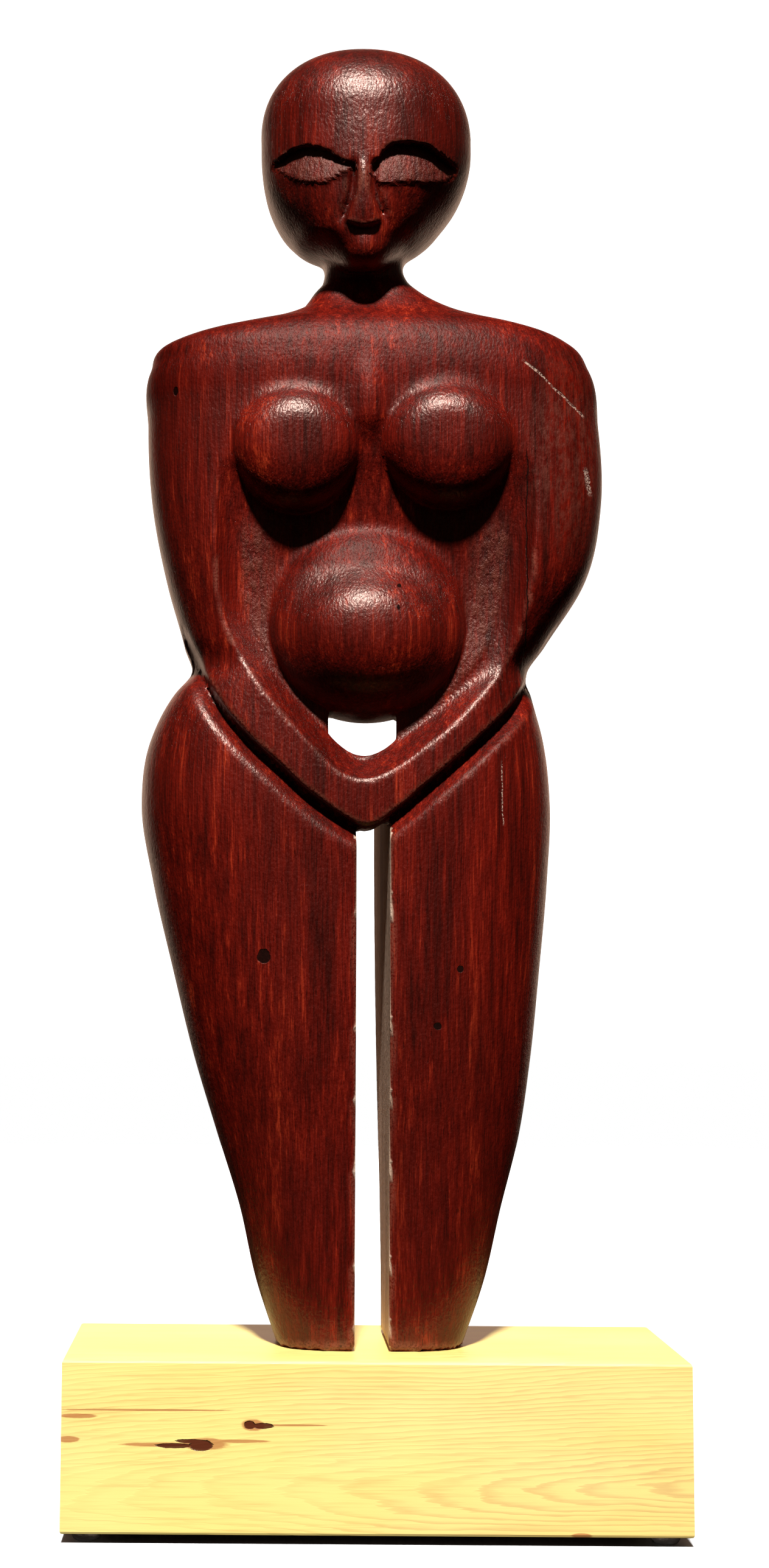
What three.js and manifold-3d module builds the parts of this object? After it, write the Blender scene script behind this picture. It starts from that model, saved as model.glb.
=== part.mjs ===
// A fertility doll carved from one block of dark hardwood, standing on an offcut of pine timber.
// Two screws, driven up through the timber, hold the legs, and four clear bumpers carry the timber.
// Millimetres, +Z up. The figure faces -Y, the floor is z = 0, and the whole model is centred in
// X and Y at the end, so the origin lies under the middle of its bounding box.
import * as THREE from "three";
import { mergeVertices } from "three/addons/utils/BufferGeometryUtils.js";
import Module from "manifold-3d";

const wasm = await Module();
wasm.setup();

// Driving dimensions.
const BASE_LENGTH = 330; // timber, along X
const BASE_DEPTH = 130; // timber, along Y
const BASE_HEIGHT = 89; // timber, along Z
const BASE_EDGE = 1.5; // bevel of the timber's edges
const FOOT_DIAMETER = 16;
const FOOT_HEIGHT = 4.7;
const FOOT_INSET = 5; // bumper's rim to the timber's end and side
const FIT = 0.3; // glue line or clearance between touching pieces
const FIGURE_HEIGHT = 740.7;
const FIGURE_WIDTH = 262;
const FIGURE_DEPTH = 163;
const SLOT_WIDTH = 18.4; // gap between the legs
const SLOT_CENTRE = -1.2;
const OPENING_WIDTH = 36.2; // hole between the belly and the hands
const OPENING_HEIGHT = 20;
const OPENING_CENTRE = -7.4;
const OPENING_RISE = 0.13; // how steeply the hole climbs towards the back
const HAND_THICKNESS = 26; // of the joined hands, front to back
const RECESS_FLOOR = -14; // the carved-back torso between the arms, in Y
const SCREW_DIAMETER = 6;
const SCREW_BITE = 36; // length of screw inside a leg
const SCREW_HEAD_WIDTH = 10; // across the flats
const SCREW_HEAD_HEIGHT = 4;
const WASHER_DIAMETER = 18;
const WASHER_THICKNESS = 1.6;
const COUNTERBORE_DIAMETER = 22;
const COUNTERBORE_DEPTH = 38;
const ROUND_SIDES = 24; // facets of bores, washers and bumpers

// The size at which the outlines below are drawn. The driving dimensions scale them.
const DRAWN_HEIGHT = 740.7;
const DRAWN_WIDTH = 262;
const DRAWN_DEPTH = 163;
const tall = FIGURE_HEIGHT / DRAWN_HEIGHT;
const wide = FIGURE_WIDTH / DRAWN_WIDTH;
const deep = FIGURE_DEPTH / DRAWN_DEPTH;

const baseBottom = FOOT_HEIGHT + FIT;
const baseTop = baseBottom + BASE_HEIGHT;
const soleHeight = baseTop + FIT;

// Stations up the body: height above the sole, left, right, front, back.
const BODY = [
  [0, -52, 50, -34, 38],
  [34, -64, 62, -37, 42],
  [74, -73, 72, -39, 53],
  [114, -86, 83, -41, 71],
  [155, -99, 90, -44, 88],
  [205, -111, 96, -46, 103],
  [255, -123, 101, -48, 112],
  [300, -131, 103, -49, 113.5],
  [335, -126, 99, -47, 105],
  [360, -113, 92, -47, 94],
  [372, -103, 89, -47, 88],
  [390, -107, 100, -47, 82],
  [425, -117, 122, -47, 76],
  [470, -126, 132, -47, 76],
  [515, -129, 131, -47, 79],
  [548, -128, 126, -47, 79],
  [561, -120, 117, -45.5, 71],
  [568.5, -98, 102, -39, 63],
  [572, -82, 90, -34.5, 59],
  [576.5, -62, 71, -28.5, 55],
  [582, -46.5, 52, -25, 51.5],
  [588.5, -38, 38, -22, 48],
  [594.5, -34, 29, -19, 46],
  [602, -29, 22, -16, 45],
  [616, -27.5, 20, -15, 45],
];

// Stations up the head, in the same order.
const HEAD = [
  [593, -18, 11, -30, 20],
  [599, -24, 17, -39, 36],
  [608, -29.5, 18, -44, 46],
  [618, -39, 25, -46, 53],
  [630, -49.5, 36.5, -48, 57],
  [648, -59.5, 49.5, -49.5, 63],
  [668, -64.5, 57, -50, 65],
  [690, -65, 58, -50, 65],
  [706, -62, 55, -46, 62],
  [719, -55, 48, -39, 55],
  [730, -43, 36, -29, 44],
  [737, -29, 22, -17, 31],
  [740.7, -12, 5, -2, 16],
];

// Half of the recess between the arms: half-width, height above the sole, from the hands up.
const RECESS = [
  [12, 326],
  [28, 336],
  [42, 350],
  [56, 370],
  [68, 398],
  [74, 430],
  [75, 482],
  [62, 500],
  [36, 492],
  [10, 474],
];

// The groove where an arm lies over a thigh: arm's edge x, height, then the thigh ridge's x, height.
const GROOVE_LEFT = [
  [-108, 398, -122, 366],
  [-96, 366, -104, 342],
  [-80, 341, -84, 321],
  [-54, 315, -57, 301],
  [-26, 293, -30, 285],
  [-4, 281, -12, 275],
];
const GROOVE_RIGHT = [
  [-4, 281, 6, 272],
  [26, 304, 22, 283],
  [50, 325, 46, 302],
  [74, 348, 66, 322],
  [92, 374, 88, 352],
  [104, 398, 106, 376],
];
const GROOVE_FLOOR = -26; // Y of the bottom of that groove
const FRONT = -46; // Y of the joined hands and of the thighs' ridges
const BREASTS = [
  { x: -43, y: -31, z: 505, halfWidth: 37, halfDepth: 29, halfHeight: 38 },
  { x: 40, y: -31, z: 509, halfWidth: 38, halfDepth: 29, halfHeight: 38 },
];
const BELLY = { x: -4, y: -14, z: 393, halfWidth: 51, halfDepth: 47, halfHeight: 54 };
const EYE_SOCKETS = [
  { x: -35, y: -56, z: 652, halfWidth: 23, halfDepth: 12, halfHeight: 11 },
  { x: 21, y: -56, z: 652, halfWidth: 23, halfDepth: 12, halfHeight: 11 },
];
const EYELIDS = [
  { x: -35, y: -41, z: 649, halfWidth: 19, halfDepth: 7, halfHeight: 7 },
  { x: 21, y: -41, z: 649, halfWidth: 19, halfDepth: 7, halfHeight: 7 },
];
// Nose ridge: centre, half-width, y and height above the sole, from the brow to the tip.
const NOSE = [
  [-7.5, 4, -49, 656],
  [-7.5, 5, -52, 640],
  [-7.5, 9, -54, 624],
  [-7.5, 10, -53, 616],
];

const wood = { color: 0x4a120c, roughness: 0.38, metalness: 0 };
const pine = { color: 0xe2bf62, roughness: 0.6, metalness: 0 };
const clear = { color: 0xe8ecea, roughness: 0.15, metalness: 0 };
const steel = { color: 0x9a9c9e, roughness: 0.35, metalness: 1 };

// Turns a closed three.js geometry into a solid.
function solid(geometry) {
  geometry.deleteAttribute("normal");
  geometry.deleteAttribute("uv");
  const merged = mergeVertices(geometry, 1e-4);
  return new wasm.Manifold(
    new wasm.Mesh({
      numProp: 3,
      vertProperties: merged.attributes.position.array,
      triVerts: new Uint32Array(merged.index.array),
    }),
  );
}

// Turns a solid back into a three.js geometry.
function geometryOf(body) {
  const mesh = body.getMesh();
  const geometry = new THREE.BufferGeometry();
  geometry.setAttribute("position", new THREE.BufferAttribute(mesh.vertProperties, 3));
  geometry.setIndex(new THREE.BufferAttribute(mesh.triVerts, 1));
  geometry.computeVertexNormals();
  return geometry;
}

// Skins a stack of rings, each listed anticlockwise seen from the far end, and closes both ends.
function skin(rings) {
  const sides = rings[0].length;
  const middle = (ring) => ring.reduce((sum, p) => sum.add(p), new THREE.Vector3()).divideScalar(sides);
  const points = [...rings.flat(), middle(rings[0]), middle(rings.at(-1))];
  const first = rings.length * sides;
  const index = [];
  for (let side = 0; side < sides; side++) {
    const next = (side + 1) % sides;
    for (let level = 0; level < rings.length - 1; level++) {
      const low = level * sides;
      const high = low + sides;
      index.push(low + side, low + next, high + next, low + side, high + next, high + side);
    }
    const top = (rings.length - 1) * sides;
    index.push(first, next, side, first + 1, top + side, top + next);
  }
  const geometry = new THREE.BufferGeometry().setFromPoints(points);
  geometry.setIndex(index);
  return solid(geometry);
}

// A squared ellipse through one station. A squareness of 2 is an ellipse.
function stationRing({ height, left, right, front, back }, sides, squareness) {
  const squared = (value) => Math.sign(value) * Math.abs(value) ** (2 / squareness);
  return Array.from({ length: sides }, (_, side) => {
    const turn = (side / sides) * 2 * Math.PI;
    const across = ((left + right) / 2 + (squared(Math.cos(turn)) * (right - left)) / 2) * wide;
    const along = ((front + back) / 2 + (squared(Math.sin(turn)) * (back - front)) / 2) * deep;
    return new THREE.Vector3(across, along, soleHeight + height * tall);
  });
}

// Rounds a stack of stations into a smooth solid.
function rounded(stations, levels, sides, squareness) {
  const widths = new THREE.CatmullRomCurve3(
    stations.map(([height, left, right]) => new THREE.Vector3(left, right, height)),
    false,
    "catmullrom",
  );
  const depths = new THREE.CatmullRomCurve3(
    stations.map(([height, , , front, back]) => new THREE.Vector3(front, back, height)),
    false,
    "catmullrom",
  );
  const rings = Array.from({ length: levels + 1 }, (_, level) => {
    const width = widths.getPoint(level / levels);
    const depth = depths.getPoint(level / levels);
    const station = { height: width.z, left: width.x, right: width.y, front: depth.x, back: depth.y };
    return stationRing(station, sides, squareness);
  });
  return skin(rings);
}

function ellipsoid({ x, y, z, halfWidth, halfDepth, halfHeight }, around, levels) {
  const geometry = new THREE.SphereGeometry(1, around, levels);
  geometry.rotateX(Math.PI / 2);
  geometry.scale(halfWidth * wide, halfDepth * deep, halfHeight * tall);
  geometry.translate(x * wide, y * deep, soleHeight + z * tall);
  return solid(geometry);
}

// A box between two corners.
function block([x0, y0, z0], [x1, y1, z1]) {
  const geometry = new THREE.BoxGeometry(x1 - x0, y1 - y0, z1 - z0);
  geometry.translate((x0 + x1) / 2, (y0 + y1) / 2, (z0 + z1) / 2);
  return solid(geometry);
}

// An upright round bar.
function bar(x, y, bottom, top, diameter, sides = ROUND_SIDES) {
  const geometry = new THREE.CylinderGeometry(diameter / 2, diameter / 2, top - bottom, sides);
  geometry.rotateX(Math.PI / 2);
  geometry.translate(x, y, (bottom + top) / 2);
  return solid(geometry);
}

const OVERSHOOT = 1; // how far a cut runs on past the face it opens
const inFront = -FIGURE_DEPTH; // clear of the figure, for cuts that run right out
const behind = FIGURE_DEPTH;
const slotLeft = SLOT_CENTRE - SLOT_WIDTH / 2;
const slotRight = SLOT_CENTRE + SLOT_WIDTH / 2;
const heightOf = (drawn) => soleHeight + drawn * tall;
const handsBottom = heightOf(283);
const openingBottom = heightOf(327);
const handsFront = FRONT * deep;
const handsBack = handsFront + HAND_THICKNESS;

// Each leg's centre, where its screw goes in: halfway between its outer side and the slot.
const legCentres = {
  left: (BODY[0][1] * wide + slotLeft) / 2,
  right: (BODY[0][2] * wide + slotRight) / 2,
};
const legMiddle = ((BODY[0][3] + BODY[0][4]) / 2) * deep;

function recess() {
  const side = RECESS.map(([x, height]) => new THREE.Vector2(x * wide, heightOf(height)));
  const mirrored = side.map(({ x, y }) => new THREE.Vector2(-x, y)).reverse();
  const outline = new THREE.Shape([...side, ...mirrored]);
  const depth = RECESS_FLOOR * deep - inFront;
  const geometry = new THREE.ExtrudeGeometry(outline, { depth, bevelEnabled: false });
  geometry.rotateX(Math.PI / 2);
  geometry.translate(0, RECESS_FLOOR * deep, 0);
  return solid(geometry);
}

// A wedge along the arm's lower edge: upright beside the arm, sloping up to the thigh's ridge.
function groove(line) {
  const rings = line.map(([armX, armHeight, thighX, thighHeight]) => [
    new THREE.Vector3(armX * wide, inFront, heightOf(armHeight)),
    new THREE.Vector3(thighX * wide, inFront, heightOf(thighHeight)),
    new THREE.Vector3(thighX * wide, FRONT * deep, heightOf(thighHeight)),
    new THREE.Vector3(armX * wide, GROOVE_FLOOR * deep, heightOf(armHeight)),
  ]);
  return skin(rings);
}

function nose() {
  const rings = NOSE.map(([x, halfWidth, y, height]) => [
    new THREE.Vector3((x - halfWidth) * wide, RECESS_FLOOR * deep, heightOf(height)),
    new THREE.Vector3((x - halfWidth) * wide, (y + 4) * deep, heightOf(height)),
    new THREE.Vector3((x - halfWidth / 2) * wide, y * deep, heightOf(height)),
    new THREE.Vector3((x + halfWidth / 2) * wide, y * deep, heightOf(height)),
    new THREE.Vector3((x + halfWidth) * wide, (y + 4) * deep, heightOf(height)),
    new THREE.Vector3((x + halfWidth) * wide, RECESS_FLOOR * deep, heightOf(height)),
  ]);
  return skin(rings.reverse());
}

// The hole between belly and hands, climbing towards the back.
function opening() {
  const left = OPENING_CENTRE - OPENING_WIDTH / 2;
  const right = OPENING_CENTRE + OPENING_WIDTH / 2;
  const profile = [
    [inFront, openingBottom],
    [behind, openingBottom],
    [behind, openingBottom + OPENING_HEIGHT + (behind - handsFront) * OPENING_RISE],
    [handsFront, openingBottom + OPENING_HEIGHT],
    [inFront, openingBottom + OPENING_HEIGHT],
  ];
  return skin([left, right].map((x) => profile.map(([y, z]) => new THREE.Vector3(x, y, z))));
}

function figureCarving() {
  let figure = rounded(BODY, 44, 44, 2.5).add(rounded(HEAD, 22, 32, 2.15));
  figure = figure.subtract(recess()).subtract(groove(GROOVE_LEFT)).subtract(groove(GROOVE_RIGHT));
  for (const socket of EYE_SOCKETS) figure = figure.subtract(ellipsoid(socket, 20, 10));
  for (const lid of EYELIDS) figure = figure.add(ellipsoid(lid, 20, 10));
  for (const breast of BREASTS) figure = figure.add(ellipsoid(breast, 28, 16));
  figure = figure.add(ellipsoid(BELLY, 32, 18)).add(nose());
  figure = figure.subtract(opening());
  figure = figure.subtract(block([slotLeft, inFront, 0], [slotRight, behind, handsBottom]));
  figure = figure.subtract(
    block(
      [slotLeft, handsBack, handsBottom - OVERSHOOT],
      [slotRight, behind, openingBottom + OVERSHOOT],
    ),
  );
  for (const x of Object.values(legCentres)) {
    const pilot = SCREW_DIAMETER + 2 * FIT;
    figure = figure.subtract(bar(x, legMiddle, 0, soleHeight + SCREW_BITE + FIT, pilot));
  }
  return geometryOf(figure);
}

function baseBlock() {
  const flat = new THREE.Shape([
    new THREE.Vector2(-BASE_LENGTH / 2 + BASE_EDGE, -BASE_DEPTH / 2 + BASE_EDGE),
    new THREE.Vector2(BASE_LENGTH / 2 - BASE_EDGE, -BASE_DEPTH / 2 + BASE_EDGE),
    new THREE.Vector2(BASE_LENGTH / 2 - BASE_EDGE, BASE_DEPTH / 2 - BASE_EDGE),
    new THREE.Vector2(-BASE_LENGTH / 2 + BASE_EDGE, BASE_DEPTH / 2 - BASE_EDGE),
  ]);
  const geometry = new THREE.ExtrudeGeometry(flat, {
    depth: BASE_HEIGHT - 2 * BASE_EDGE,
    bevelThickness: BASE_EDGE,
    bevelSize: BASE_EDGE,
    bevelSegments: 2,
  });
  geometry.translate(0, 0, baseBottom + BASE_EDGE);
  let timber = solid(geometry);
  for (const x of Object.values(legCentres)) {
    const clearance = SCREW_DIAMETER + 2 * FIT;
    const boreTop = baseBottom + COUNTERBORE_DEPTH;
    timber = timber.subtract(
      bar(x, legMiddle, baseBottom - OVERSHOOT, boreTop, COUNTERBORE_DIAMETER),
    );
    timber = timber.subtract(
      bar(x, legMiddle, boreTop - OVERSHOOT, baseTop + OVERSHOOT, clearance),
    );
  }
  return geometryOf(timber);
}

// A clear self-adhesive bumper: flat on top, tapering to a rounded tread on the floor.
function bumper() {
  const radius = FOOT_DIAMETER / 2;
  const tread = radius * 0.62;
  const shoulder = new THREE.QuadraticBezierCurve(
    new THREE.Vector2(tread, 0),
    new THREE.Vector2(radius * 0.9, 0),
    new THREE.Vector2(radius, FOOT_HEIGHT * 0.7),
  );
  const profile = [
    new THREE.Vector2(0, 0),
    ...shoulder.getPoints(5),
    new THREE.Vector2(radius, FOOT_HEIGHT),
    new THREE.Vector2(0, FOOT_HEIGHT),
  ];
  const geometry = new THREE.LatheGeometry(profile, ROUND_SIDES);
  geometry.rotateX(Math.PI / 2);
  return geometryOf(solid(geometry));
}

const washerTop = baseBottom + COUNTERBORE_DEPTH - FIT;
const headTop = washerTop - WASHER_THICKNESS - FIT;

function washer(x) {
  const disc = bar(x, legMiddle, washerTop - WASHER_THICKNESS, washerTop, WASHER_DIAMETER);
  const hole = bar(x, legMiddle, 0, baseTop, SCREW_DIAMETER + 2 * FIT);
  return geometryOf(disc.subtract(hole));
}

// A hexagon-headed wood screw, point up.
function legScrew(x) {
  const tip = soleHeight + SCREW_BITE;
  const point = SCREW_DIAMETER * 1.5;
  const headDiameter = SCREW_HEAD_WIDTH / Math.cos(Math.PI / 6);
  const cone = new THREE.CylinderGeometry(SCREW_DIAMETER / 2, 0.5, point, ROUND_SIDES);
  cone.rotateX(-Math.PI / 2);
  cone.translate(x, legMiddle, tip - point / 2);
  const head = bar(x, legMiddle, headTop - SCREW_HEAD_HEIGHT, headTop, headDiameter, 6);
  const shank = bar(x, legMiddle, headTop - OVERSHOOT, tip - point, SCREW_DIAMETER);
  return geometryOf(head.add(shank).add(solid(cone)));
}

const part = new THREE.Group();

function place(name, geometry, finish, x = 0, y = 0) {
  const mesh = new THREE.Mesh(geometry, new THREE.MeshStandardMaterial(finish));
  mesh.name = name;
  mesh.position.set(x, y, 0);
  part.add(mesh);
}

place("figure_carving", figureCarving(), wood);
place("base_block", baseBlock(), pine);
for (const [side, x] of Object.entries(legCentres)) {
  place(`leg_screw_${side}`, legScrew(x), steel);
  place(`leg_washer_${side}`, washer(x), steel);
}
const footX = BASE_LENGTH / 2 - FOOT_INSET - FOOT_DIAMETER / 2;
const footY = BASE_DEPTH / 2 - FOOT_INSET - FOOT_DIAMETER / 2;
for (const [end, x] of [["left", -footX], ["right", footX]]) {
  for (const [row, y] of [["front", -footY], ["rear", footY]]) {
    place(`foot_${row}_${end}`, bumper(), clear, x, y);
  }
}

const bounds = new THREE.Box3().setFromObject(part);
const centre = bounds.getCenter(new THREE.Vector3());
part.position.set(-centre.x, -centre.y, 0);

export default part;
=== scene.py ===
# Looks for a carved fertility doll on a pine base: the carving itself as a fine surface, and
# procedural finishes for the timber, the clear bumpers and the steel fixings.
import math

import bpy
import numpy as np
from bpy.props import FloatProperty, FloatVectorProperty, PointerProperty
from mathutils import Matrix, Vector


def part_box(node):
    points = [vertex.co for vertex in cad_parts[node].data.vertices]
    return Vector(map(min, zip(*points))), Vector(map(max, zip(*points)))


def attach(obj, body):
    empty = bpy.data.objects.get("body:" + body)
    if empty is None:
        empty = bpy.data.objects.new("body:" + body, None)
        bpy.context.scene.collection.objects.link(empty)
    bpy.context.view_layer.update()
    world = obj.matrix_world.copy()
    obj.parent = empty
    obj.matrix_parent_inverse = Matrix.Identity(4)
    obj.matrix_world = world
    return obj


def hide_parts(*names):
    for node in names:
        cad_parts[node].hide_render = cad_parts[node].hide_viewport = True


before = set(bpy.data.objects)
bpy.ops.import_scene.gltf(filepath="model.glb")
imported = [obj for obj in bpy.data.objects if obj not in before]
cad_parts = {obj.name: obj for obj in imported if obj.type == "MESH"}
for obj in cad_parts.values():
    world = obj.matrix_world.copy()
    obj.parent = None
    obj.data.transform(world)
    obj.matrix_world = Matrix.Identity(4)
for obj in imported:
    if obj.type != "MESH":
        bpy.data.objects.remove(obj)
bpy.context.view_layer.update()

bl_info = {
    "name": "Carved Fertility Doll",
    "version": (1, 0, 0),
    "blender": (4, 5, 0),
    "location": "3D View > Sidebar > Doll",
    "description": "Carves the doll and gives its base, bumpers and fixings their finishes",
    "category": "Object",
}

MM = 0.001

# The carver's frame, in millimetres: x across, y from front to back, both from the middle of the
# timber, and h up from the soles.
_low, _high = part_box("base_block")
BLOCK_MIDDLE = (_low + _high) / 2
_sole, _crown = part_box("figure_carving")
ORIGIN = Vector((BLOCK_MIDDLE.x, BLOCK_MIDDLE.y, _sole.z))
HEIGHT = (_crown.z - _sole.z) / MM
BACK = (_crown.y - BLOCK_MIDDLE.y) / MM
BLOCK_FRONT = _low.y


def place(x, y, h):
    """A point of the carver's frame, in metres in the model's frame."""
    return Vector((x, y, h)) * MM + ORIGIN


# ---------------------------------------------------------------------------------------------
# Shape of the carving
# ---------------------------------------------------------------------------------------------

# Stations up the body: height, left, right, front, back.
BODY = np.array([
    [0, -52, 50, -34, 38],
    [34, -63.5, 62, -37, 42],
    [74, -73, 72, -39, 53],
    [114, -86, 83, -41, 71],
    [155, -99, 90, -44, 88],
    [205, -112, 96, -46.5, 103],
    [255, -124, 101, -48, 111],
    [300, -131, 103, -49, 113],
    [335, -126, 99, -48, 105],
    [360, -113, 92, -47, 94],
    [372, -103, 89, -47, 88],
    [390, -107, 100, -47, 82],
    [425, -117, 122, -47, 76],
    [470, -126, 132, -47, 76],
    [515, -129, 131, -47, 79],
    [548, -128, 126, -45.5, 79],
    [561, -120, 117, -42, 71],
    [568.5, -98, 102, -38, 63],
    [572, -82, 90, -35, 59],
    [576.5, -62, 71, -30, 55],
    [580, -51, 58, -27, 53],
    [584, -42, 47, -24.5, 50],
    [588.5, -38, 38, -22, 48],
    [594.5, -34, 29, -19, 46],
    [600, -29.5, 23, -16, 45],
    [606, -27.5, 19.5, -15, 45],
    [620, -27, 19.5, -15, 45],
], float)

# The same up the head, to its widest level. Above that the head is a dome.
HEAD = np.array([
    [590, -24, 10, -42, 34],
    [600, -24, 11.5, -44, 40],
    [611.5, -29.5, 17, -45.5, 48],
    [615.5, -34.5, 20.5, -46, 50],
    [619.5, -41.3, 26, -46.5, 52],
    [628, -48.5, 34.5, -48, 56],
    [636, -54, 41, -49, 59],
    [648, -59.5, 49.5, -50, 63],
    [660, -62.5, 54.8, -50.5, 64],
    [672, -64.0, 57.6, -50.8, 65],
    [688, -64.5, 58.2, -50.5, 65.5],
], float)
DOME_LEVEL = HEAD[-1, 0]
CROWN = HEIGHT - 0.3

# The arms' inner ridge, from one armpit round the hands to the other: x, height.
INNER_RIDGE = np.array([
    [-84, 600], [-87, 520], [-89, 470], [-89, 435], [-86, 404], [-78, 383], [-66, 363],
    [-54, 347], [-38, 329], [-22, 312.5], [-6, 307], [10, 313], [26, 324.5], [42, 337.5],
    [58, 354.5], [72, 372], [82, 396], [88, 430], [90, 470], [88, 520], [86, 600],
], float)

# The arms' lower edge, where they lie over the thighs.
LOWER_EDGE = np.array([
    [-150, 428], [-113, 402], [-101, 383], [-93, 364], [-84, 348], [-69, 330],
    [-53, 315], [-38, 301], [-20, 288], [-4, 281], [12, 291], [26, 303], [42, 317], [58, 332],
    [74, 348], [85, 364], [94, 381], [104, 397], [112, 404], [150, 428],
], float)

# How deep the torso is carved back between the arms: height, y of the floor.
RECESS_FLOOR = np.array([
    [290, -30], [345, -31], [372, -30.5], [400, -28], [430, -30], [455, -34], [475, -38],
    [490, -42], [505, -45], [520, -54], [545, -72], [600, -110],
], float)

SLOT = (-10.4, 8.0)  # the faces of the cut between the legs, in x
OPENING = (-25.5, 10.7)  # the sides of the hole above the hands, in x
HANDS_BACK = -20.0  # behind this the slot runs on up to the hole


def through(points, at):
    """A smooth curve through (place, value) rows: cubics whose slopes follow their neighbours."""
    place_, value = points[:, 0], points[:, 1]
    step = np.diff(place_)
    rise = np.diff(value) / step
    slope = np.concatenate([
        rise[:1], (rise[:-1] * step[1:] + rise[1:] * step[:-1]) / (step[1:] + step[:-1]), rise[-1:],
    ])
    at = np.clip(at, place_[0], place_[-1])
    i = np.clip(np.searchsorted(place_, at, side="right") - 1, 0, len(step) - 1)
    t = (at - place_[i]) / step[i]
    return (
        value[i] * (1 + 2 * t) * (1 - t) ** 2
        + value[i + 1] * t * t * (3 - 2 * t)
        + step[i] * (slope[i] * t * (1 - t) ** 2 - slope[i + 1] * t * t * (1 - t))
    )


def dense(points, pieces=4):
    """The same polyline with smooth extra points, by a curve through x and one through height."""
    knots = np.arange(len(points), dtype=float)
    at = np.linspace(0, len(points) - 1, (len(points) - 1) * pieces + 1)
    return np.stack([through(np.stack([knots, points[:, k]], 1), at) for k in (0, 1)], 1)


def beside(line, x, h):
    """Distance from a line drawn in x and height: positive on the side to the right of its run."""
    x, h = np.broadcast_arrays(x, h)
    nearest = np.full(x.shape, 1e9, np.float32)
    side = np.zeros(x.shape, np.float32)
    for (ax, ah), (bx, bh) in zip(line[:-1], line[1:]):
        run, rise = bx - ax, bh - ah
        t = np.clip(((x - ax) * run + (h - ah) * rise) / (run * run + rise * rise), 0, 1)
        far = (x - ax - t * run) ** 2 + (h - ah - t * rise) ** 2
        closer = far < nearest - 1e-6
        nearest = np.where(closer, far, nearest)
        side = np.where(closer, (x - ax) * rise - (h - ah) * run, side)
    return np.sign(side) * np.sqrt(nearest)


def join(a, b, blend):
    """Union of two bodies with a fillet: the lesser value, eased over the blend's width."""
    return np.minimum(a, b) - np.maximum(blend - np.abs(a - b), 0) ** 2 / (4 * blend)


def cut(a, b, blend):
    """What two bodies share, with a rounded edge: the greater value, eased over the width."""
    return -join(-a, -b, blend)


def ease(low, high, value):
    """Zero below low and one above high, with a smooth rise between."""
    t = np.clip((value - low) / (high - low), 0, 1)
    return t * t * (3 - 2 * t)


def sections(stations, h):
    """Middle, centre, half-width and half-depth of a body at each height."""
    left, right, front, back = (through(stations[:, [0, k]], h) for k in (1, 2, 3, 4))
    return (left + right) / 2, (front + back) / 2, (right - left) / 2, (back - front) / 2


def lump(x, y, h, centre, half, squareness=2.0):
    """How far a point lies outside a squared ellipsoid, measured along the line to its centre."""
    off = [v - c for v, c in zip((x, y, h), centre)]
    reach = sum(np.abs(o / r) ** squareness for o, r in zip(off, half)) ** (1 / squareness)
    length = np.sqrt(sum(o * o for o in off))
    return length * (1 - 1 / np.maximum(reach, 1e-3))


def rounded(x, y, h, centre, half, power):
    """How far a point lies outside a body that is an ellipse seen from the front, and whose depth
    follows a squared ellipse of the given power."""
    off = [v - c for v, c in zip((x, y, h), centre)]
    flat = np.sqrt((off[0] / half[0]) ** 2 + (off[2] / half[2]) ** 2)
    reach = (flat**power + np.abs(off[1] / half[1]) ** power) ** (1 / power)
    length = np.sqrt(sum(o * o for o in off))
    return length * (1 - 1 / np.maximum(reach, 1e-3))


def front_face(h, x):
    """The y of the body's uncarved front at a place."""
    middle, centre, half_width, half_depth = sections(BODY, h)
    across = np.clip(np.abs(x - middle) / half_width, 0, 0.985)
    return centre - half_depth * (1 - across**3.2) ** (1 / 3.2)


def trunk(x, y, h):
    """Legs, hips, torso and arms before any relief: upright squared ellipses, squarer in front."""
    middle, centre, half_width, half_depth = sections(BODY, h)
    across = np.abs(x - middle) / half_width
    along = np.abs(y - centre) / half_depth
    ahead = (across**3.2 + along**3.2) ** (1 / 3.2)
    rear = (across**2.5 + along**2.5) ** (1 / 2.5)
    reach = np.where(y < centre, ahead, rear)
    length = np.hypot(x - middle, y - centre)
    body = length * (1 - 1 / np.maximum(reach, 1e-3))
    spine = 3.5 * np.exp(-(((x - middle) / 13) ** 2)) * ease(360, 420, h) * ease(580, 520, h)
    return body + spine * ease(0, 40, y)


def recess_depth(x, h):
    """The y of the carved-back torso: a bevel inside the arms' ridge, a steep wall, then a floor."""
    inside = -beside(RIDGE, x, h)
    wall = np.interp(inside, [-40, 0, 14, 19, 60], [-60, 0, 17.5, 28, 90])
    return join(front_face(h, x) + wall, through(RECESS_FLOOR, h), 5.0)


def groove_depth(x, h):
    """The y of the groove under the arms: upright beside the arm, sloping up to the thigh."""
    below = beside(LOWER, x, h)
    deep = np.interp(x, [-110, -60, -20, 10, 60, 110], [12, 12, 11, 10, 11, 12])
    return front_face(h, x) + deep * np.interp(below, [-40, -1.5, 0.5, 10, 60], [-12, 0, 1, 0, -5])


RIDGE = dense(INNER_RIDGE)
LOWER = dense(LOWER_EDGE)

# Rounded forms: the centre as x, y and height, then half-width, half-depth and half-height.
STERNUM = ((-4, -38, 521), (10, 11.5, 22))
DOME = ((-4, -17, 397), (53, 26, 50))
BALL = ((-4, -14, 388), (51.0, 47.0, 42))
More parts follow.
